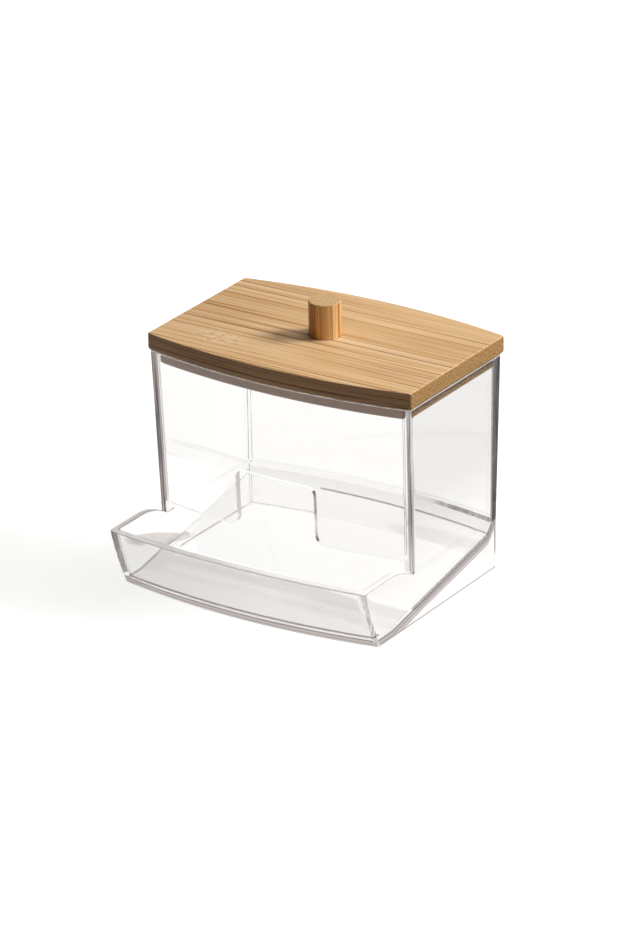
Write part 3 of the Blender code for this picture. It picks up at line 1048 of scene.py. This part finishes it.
def bamboo_board():
    """The lid's bamboo: three strips, fine dark fibres, one knot of disturbed grain, speckled ends."""
    t = Wood("bamboo, lid board", "X")
    # The knot bends and breaks up the fibres round it
    from_knot = t.vector("SUBTRACT", t.place, BOARD_KNOT).outputs[0]
    stretched = t.vector("MULTIPLY", from_knot, (110.0, 190.0, 60.0)).outputs[0]
    away = t.vector("LENGTH", stretched).outputs["Value"]
    knot = t.between(away, 1.1, 0.35)
    bend = t.noise(260.0, 420.0, 2.0, 3.0)
    shift = t.times(t.math("SUBTRACT", bend, 0.5), knot, 0.0022)
    slow = t.times(t.math("SUBTRACT", t.noise(14.0, 60.0, 1.0, 6.0), 0.5), 0.0012)
    bent_y = t.math("ADD", t.y, t.math("ADD", shift, slow))
    normal = t.node("ShaderNodeSeparateXYZ", {0: t.node("ShaderNodeTexCoord").outputs["Normal"]})
    on_long = t.between(t.math("ABSOLUTE", normal.outputs[1]), 0.55, 0.9)
    # On the long edges the fibres follow the bow
    followed = t.times(bent_y, t.math("MULTIPLY_ADD", on_long, -0.9, 1.0))
    t.grain = t.join(t.x, followed, t.z)

    band = t.between(t.noise(7.0, 210.0, 2.0, 1.0), 0.36, 0.64)
    colour = t.mix(band, BOARD_TAN, BOARD_PALE)
    # Three places where the wood is warmer: the strip between the seams, the middle and the left
    past_front = t.between(bent_y, FRONT_SEAM - SEAM_BLUR, FRONT_SEAM + SEAM_BLUR)
    before_rear = t.between(bent_y, REAR_SEAM + SEAM_BLUR, REAR_SEAM - SEAM_BLUR)
    colour = t.mix(t.times(past_front, before_rear, 0.45), colour, BOARD_ORANGE)
    middle = t.times(t.close_to(t.x, 0.004, 0.026), t.close_to(bent_y, 0.0, 0.012))
    colour = t.mix(t.times(middle, 0.4), colour, BOARD_ORANGE)
    left = t.times(t.between(bent_y, -0.002, 0.004), t.between(bent_y, 0.021, 0.016))
    left = t.times(t.between(t.x, -0.002, -0.03), left)
    colour = t.mix(t.times(left, 0.35), colour, BOARD_ORANGE)

    dense = t.between(t.noise(5.0, 130.0, 1.0, 2.0), 0.38, 0.62)
    crowd = t.math("MAXIMUM", t.close_to(bent_y, 0.0105, 0.006), t.close_to(bent_y, -0.012, 0.005))
    right = t.between(t.x, 0.010, 0.034)
    least = t.math("MULTIPLY_ADD", right, 0.25, 0.40)
    density = t.math("MULTIPLY_ADD", t.math("MAXIMUM", dense, crowd), 0.60, least, clamp=True)
    fibres = t.times(t.between(t.noise(7.0, 1150.0, 2.0, 4.0), 0.43, 0.37), density)
    fine = t.between(t.noise(14.0, 2500.0, 2.0, 5.0), 0.47, 0.36)
    pale = t.between(t.noise(9.0, 1500.0, 2.0, 9.0), 0.53, 0.64)
    colour = t.mix(t.times(pale, 0.65), colour, BOARD_LIGHT)
    colour = t.mix(t.times(fine, 0.60), colour, BOARD_BROWN)
    colour = t.mix(t.times(fibres, 0.80), colour, BOARD_DARK)

    flecks = t.noise(520.0, 900.0, 2.0, 7.0)
    colour = t.mix(t.times(knot, t.between(flecks, 0.48, 0.62), 0.75), colour, BOARD_LIGHT)
    colour = t.mix(t.times(knot, t.between(flecks, 0.42, 0.32), 0.6), colour, BOARD_BROWN)

    rear_line = t.close_to(bent_y, REAR_SEAM, 0.00035)
    seams = t.math("MAXIMUM", rear_line, t.close_to(bent_y, FRONT_SEAM, 0.0003))
    broken = t.between(t.noise(30.0, 30.0, 1.0, 8.0), 0.35, 0.5)
    colour = t.mix(t.times(seams, broken, 0.6), colour, BOARD_DARK)

    # Darker towards both ends
    toward_ends = t.math("MULTIPLY_ADD", right, 0.45, t.between(t.x, 0.005, -0.040))
    colour = t.tint(t.math("MULTIPLY_ADD", toward_ends, 0.65, 0.1), colour, (0.86, 0.83, 0.82, 1.0))

    # The long edges get painted shade, the plug is redder, and the sawn ends show the fibres as specks
    colour = t.tint(t.times(on_long, 0.85), colour, LONG_EDGE_SHADE)
    on_plug = t.between(t.z, LID_BOTTOM * MM, (LID_BOTTOM - GAP) * MM)
    colour = t.mix(t.times(on_plug, 0.8), colour, (0.62, 0.27, 0.085, 1.0))
    on_end = t.between(t.math("ABSOLUTE", normal.outputs[0]), 0.55, 0.9)
    specks = t.noise(300.0, 1900.0, 2.0, 11.0)
    end = t.mix(t.between(specks, 0.56, 0.40), END_TAN, END_DARK)
    end = t.mix(t.times(t.between(specks, 0.60, 0.70), 0.4), end, BOARD_LIGHT)
    crack = t.close_to(t.y, t.math("MULTIPLY_ADD", t.z, 0.2, -0.0068), 0.00032)
    crack = t.times(crack, t.between(t.z, 0.0672, 0.0679), t.between(t.x, 0.02, 0.03))
    end = t.mix(t.times(crack, 0.85), end, BOARD_DARK)
    colour = t.mix(on_end, colour, end)

    height = t.math("SUBTRACT", t.times(pale, 0.4), t.math("ADD", t.times(fibres, 0.8), t.times(fine, 0.35)))
    roughness = t.math("MULTIPLY_ADD", t.math("ADD", fibres, fine), 0.12, 0.46, clamp=True)
    return t.finish(colour, roughness, height, 0.00003)


def bamboo_dowel():
    """The knob's bamboo: upright fibres, darker round the side than on the sawn top."""
    t = Wood("bamboo, knob", "Z")
    band = t.between(t.noise(8.0, 420.0, 2.0, 21.0), 0.38, 0.62)
    colour = t.mix(band, DOWEL_TAN, DOWEL_PALE)
    fibres = t.between(t.noise(20.0, 1100.0, 2.0, 24.0), 0.49, 0.37)
    fine = t.between(t.noise(40.0, 2600.0, 2.0, 25.0), 0.50, 0.34)
    colour = t.mix(t.times(fine, 0.4), colour, DOWEL_BROWN)
    colour = t.mix(t.times(fibres, 0.8), colour, DOWEL_BROWN)
    # One side of the stem is darker: partly darker wood, partly painted shade on the side away from the key
    # lamp; the lit side gets painted light
    colour = t.tint(t.times(t.between(t.x, 0.0012, -0.0030), 0.85), colour, (0.62, 0.50, 0.40, 1.0))
    lit_side = t.times(t.between(t.x, 0.0005, 0.0025), band, 0.5)
    colour = t.mix(lit_side, colour, (1.0, 0.64, 0.29, 1.0))
    normal = t.node("ShaderNodeSeparateXYZ", {0: t.node("ShaderNodeTexCoord").outputs["Normal"]})
    specks = t.noise(300.0, 1700.0, 2.0, 31.0)
    top = t.mix(t.between(specks, 0.55, 0.36), END_PALE, END_TAN)
    colour = t.mix(t.between(normal.outputs[2], 0.35, 0.75), colour, top)
    height = t.math("MULTIPLY", t.math("ADD", fibres, t.times(fine, 0.5)), -1.0)
    return t.finish(colour, t.math("MULTIPLY_ADD", fibres, 0.1, 0.45), height, 0.00006)


make_camera()
make_world()
make_floor()
make_lamp("key lamp", (0.734, 0.553, 0.771), 0.4, 15.5)
make_lamp("top lamp", (0.15, 0.3, 1.1), 0.6, 4.4)
# After each moulding's own plastic, in the order of the slots
shared = [
    bonded_joint(),
    # painted light: the moulded edges glow
    clear_plastic("clear plastic, moulded edge, painted glow", 0.55, HAZE, glow=0.6),
    # the outside carries the band's painted shade lines
    clear_plastic("clear plastic, outside of the base", 0.04, HAZE, band=True),
    # painted trapped light: grey streaks on the corners
    clear_plastic("clear plastic, corner, painted trapped light", 0.55, HAZE, streaked=True),
    # painted shade: dark lines at edges, the kink and the fillet
    clear_plastic("clear plastic, painted shade line", 0.65, (0.25, 0.21, 0.20, 1.0)),
    # painted light: the underside glows
    clear_plastic("clear plastic, underside, painted glow", 0.85, (0.32, 0.30, 0.29, 1.0), glow=0.72),
    # the front carries the band's painted shade lines
    clear_plastic("clear plastic, front of the base", 0.11, (0.66, 0.54, 0.51, 1.0), band=True),
    # painted shade: the near-black rear corner
    clear_plastic("clear plastic, rear corner, painted shade", 0.75, (0.035, 0.035, 0.045, 1.0)),
]
make_tray_base([clear_plastic("clear plastic, base", 0.04, HAZE)] + shared)
make_hopper([clear_plastic("clear plastic, hopper", 0.02, HAZE)] + shared)
make_lid_board(bamboo_board())
make_knob(bamboo_dowel())
